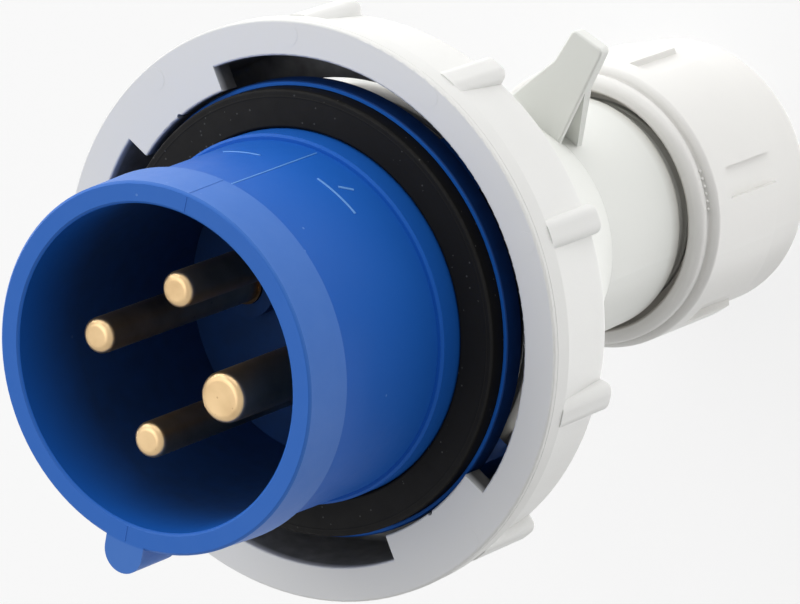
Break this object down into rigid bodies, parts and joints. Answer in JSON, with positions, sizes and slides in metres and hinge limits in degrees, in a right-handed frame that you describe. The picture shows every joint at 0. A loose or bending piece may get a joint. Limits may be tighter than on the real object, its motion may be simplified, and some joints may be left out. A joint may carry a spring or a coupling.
{
  "type": "industrial pin and sleeve plug",
  "caption": "Watertight pin and sleeve plug: blue keyed shroud with brass contact pins, rotating bayonet ring, tapered rear housing and a screwed cable gland.",
  "frame": {"origin": "centre of the rear face of the gland nut, on the plug's axis", "axes": "+Z along the plug's axis towards the contact pins, +X towards the earth pin, -Y towards the key rib"},
  "size_m": [0.082, 0.0818, 0.137],
  "materials": {
    "shroud_blue": "moulded, satin to gloss",
    "ring_grey": "moulded, satin",
    "housing_white": "moulded, satin",
    "nut_white": "moulded, satin",
    "gasket_black": "matte",
    "seal_rubber": "matte",
    "cage_plastic": "moulded, matte",
    "contact_brass": "turned",
    "screw_steel": "zinc plated"
  },
  "bodies": {
    "body": {"contact_carrier": "shroud_blue", "earth_pin": "contact_brass", "line_pin_1": "contact_brass", "line_pin_2": "contact_brass", "line_pin_3": "contact_brass", "earth_terminal_screw": "screw_steel", "line_terminal_screw_1": "screw_steel", "line_terminal_screw_2": "screw_steel", "line_terminal_screw_3": "screw_steel", "contact_retainer": "cage_plastic", "contact_insert": "shroud_blue", "retainer_screw_1": "screw_steel", "retainer_screw_2": "screw_steel", "front_gasket": "gasket_black", "housing_seal": "gasket_black", "rear_housing": "housing_white", "gland_seal": "seal_rubber", "clamp_cage": "cage_plastic"},
    "ring": {"coupling_ring": "ring_grey"},
    "washer": {"slip_washer": "cage_plastic"},
    "nut": {"gland_nut": "nut_white"}
  },
  "joints": [
    {"name": "ring_turn", "type": "hinge", "parent": "body", "child": "ring", "pos_m": [0, 0, 0.094], "axis": [0, 0, 1], "continuous": true},
    {"name": "gland_travel", "type": "slide", "parent": "body", "child": "washer", "axis": [0, 0, -1], "range_m": [0, 0.0061]},
    {"name": "gland_turn", "type": "hinge", "parent": "washer", "child": "nut", "pos_m": [0, 0, 0.015], "axis": [0, 0, -1], "range_deg": [0, 1440]}
  ],
  "couplings": [
    {"joint": "gland_travel", "follows": "gland_turn", "m_per_rad": 0.00023873}
  ]
}
